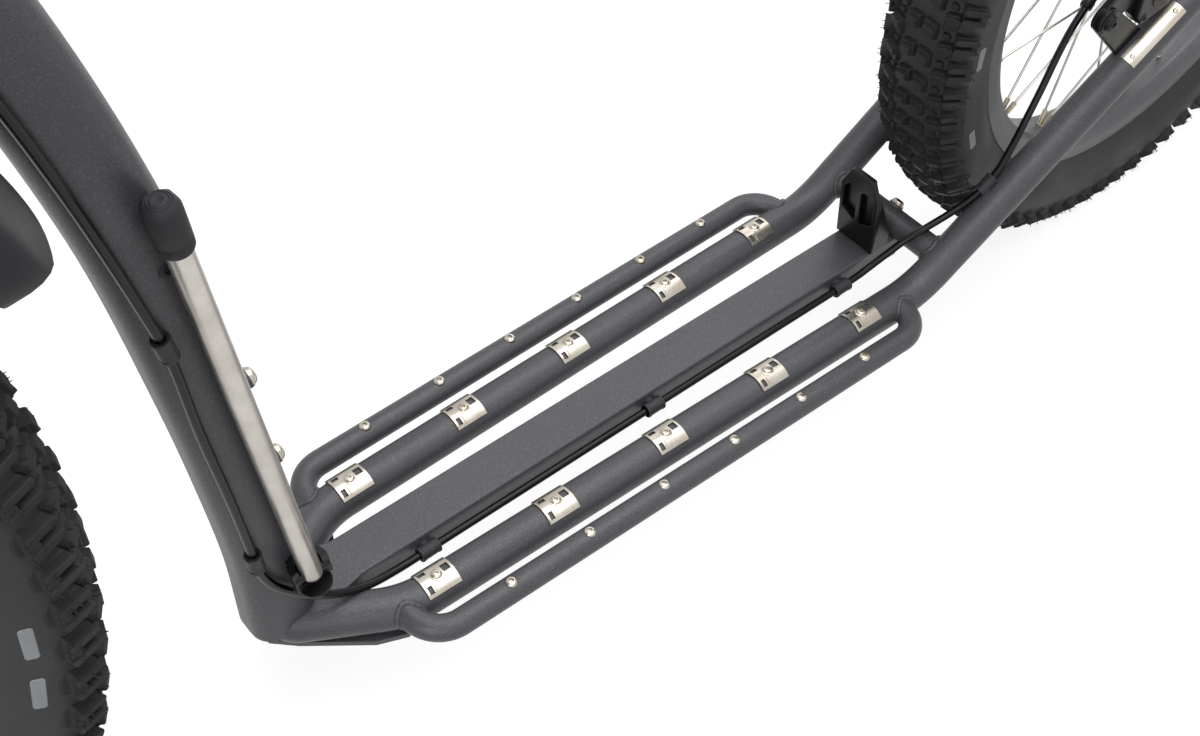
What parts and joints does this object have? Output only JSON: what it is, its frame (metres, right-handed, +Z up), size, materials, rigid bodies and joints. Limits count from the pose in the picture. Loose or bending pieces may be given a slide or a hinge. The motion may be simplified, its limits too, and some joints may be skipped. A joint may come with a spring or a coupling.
{
  "type": "kick bike",
  "caption": "Foot-pushed kick bike: low deck of rails, curved down tube, turning fork and bar, big front and smaller rear spoked wheel, disc brakes, levers, front mudguard, fold-down stand.",
  "frame": {"origin": "top face of the deck beam on the centre plane, midway between the first and the last cleats", "axes": "+X forward along the deck, +Y to the rider's left, +Z up from the deck's top face"},
  "size_m": [1.7932, 0.6315, 1.0303],
  "materials": {
    "frame_paint": "matt anthracite powder coat with a fine sparkle",
    "stainless": "brushed stainless steel",
    "black_alloy": "black anodised",
    "black_rubber": "satin",
    "black_plastic": "matt",
    "tyre": "matt tread",
    "rim": "satin grey"
  },
  "bodies": {
    "frame": {"downtube": "frame_paint", "head_tube": "frame_paint", "left_rail": "frame_paint", "right_rail": "frame_paint", "left_foot_rail": "frame_paint", "right_foot_rail": "frame_paint", "deck_beam": "frame_paint", "cross_tube": "frame_paint", "belly_plate": "frame_paint", "left_dropout": "frame_paint", "right_dropout": "frame_paint", "left_cleat_1": "stainless", "left_cleat_2": "stainless", "left_cleat_3": "stainless", "left_cleat_4": "stainless", "left_cleat_5": "stainless", "right_cleat_1": "stainless", "right_cleat_2": "stainless", "right_cleat_3": "stainless", "right_cleat_4": "stainless", "right_cleat_5": "stainless", "rear_bracket": "black_alloy", "rear_hose": "black_rubber", "rear_calliper": "black_alloy", "stand_bracket": "black_alloy", "stand_pin": "stainless", "headset_lower": "black_alloy", "headset_upper": "black_alloy", "rear_axle": "stainless"},
    "stand": {"stand_tube": "stainless", "stand_foot": "black_rubber"},
    "rear_wheel": {"rear_tyre": "tyre", "rear_rim": "rim", "rear_spokes_left": "stainless", "rear_spokes_right": "stainless", "rear_hub": "black_alloy", "rear_rotor": "stainless"},
    "fork": {"fork_crown": "frame_paint", "fork_leg_left": "frame_paint", "fork_leg_right": "frame_paint", "front_axle": "stainless", "front_calliper": "black_alloy", "mudguard": "black_plastic", "stem": "black_alloy", "stem_cap": "black_alloy", "handlebar": "black_alloy", "left_grip": "black_rubber", "right_grip": "black_rubber", "left_brake_body": "black_alloy", "right_brake_body": "black_alloy", "front_hose": "black_rubber", "bar_hose": "black_rubber"},
    "front_wheel": {"front_tyre": "tyre", "front_rim": "rim", "front_spokes_left": "stainless", "front_spokes_right": "stainless", "front_hub": "black_alloy", "front_rotor": "stainless"},
    "left_lever": {"left_lever": "black_alloy"},
    "right_lever": {"right_lever": "black_alloy"}
  },
  "joints": [
    {"name": "steering", "type": "hinge", "parent": "frame", "child": "fork", "pos_m": [0.5098, 0, 0.62918], "axis": [-0.3256, 0, 0.9455], "range_deg": [-33.9, 66.1]},
    {"name": "front_wheel_spin", "type": "hinge", "parent": "fork", "child": "front_wheel", "pos_m": [0.68663, -0.01248, 0.24843], "axis": [0.2622, 0.9608, 0.0903], "continuous": true},
    {"name": "rear_wheel_spin", "type": "hinge", "parent": "frame", "child": "rear_wheel", "pos_m": [-0.501, 0, 0.178], "axis": [0, 1, 0], "continuous": true},
    {"name": "stand_fold", "type": "hinge", "parent": "frame", "child": "stand", "pos_m": [0.241, 0.028, 0.053], "axis": [-1, 0, 0], "range_deg": [0, 117]},
    {"name": "left_lever_pull", "type": "hinge", "parent": "fork", "child": "left_lever", "pos_m": [0.55841, 0.15745, 0.89694], "axis": [0.4923, -0.1107, 0.8634], "range_deg": [0, 16], "stiffness_Nm_per_rad": 0.5, "springref_deg": -11.46},
    {"name": "right_lever_pull", "type": "hinge", "parent": "fork", "child": "right_lever", "pos_m": [0.45972, -0.20417, 0.86295], "axis": [-0.4395, 0.3042, -0.8452], "range_deg": [0, 16], "stiffness_Nm_per_rad": 0.5, "springref_deg": -11.46}
  ]
}
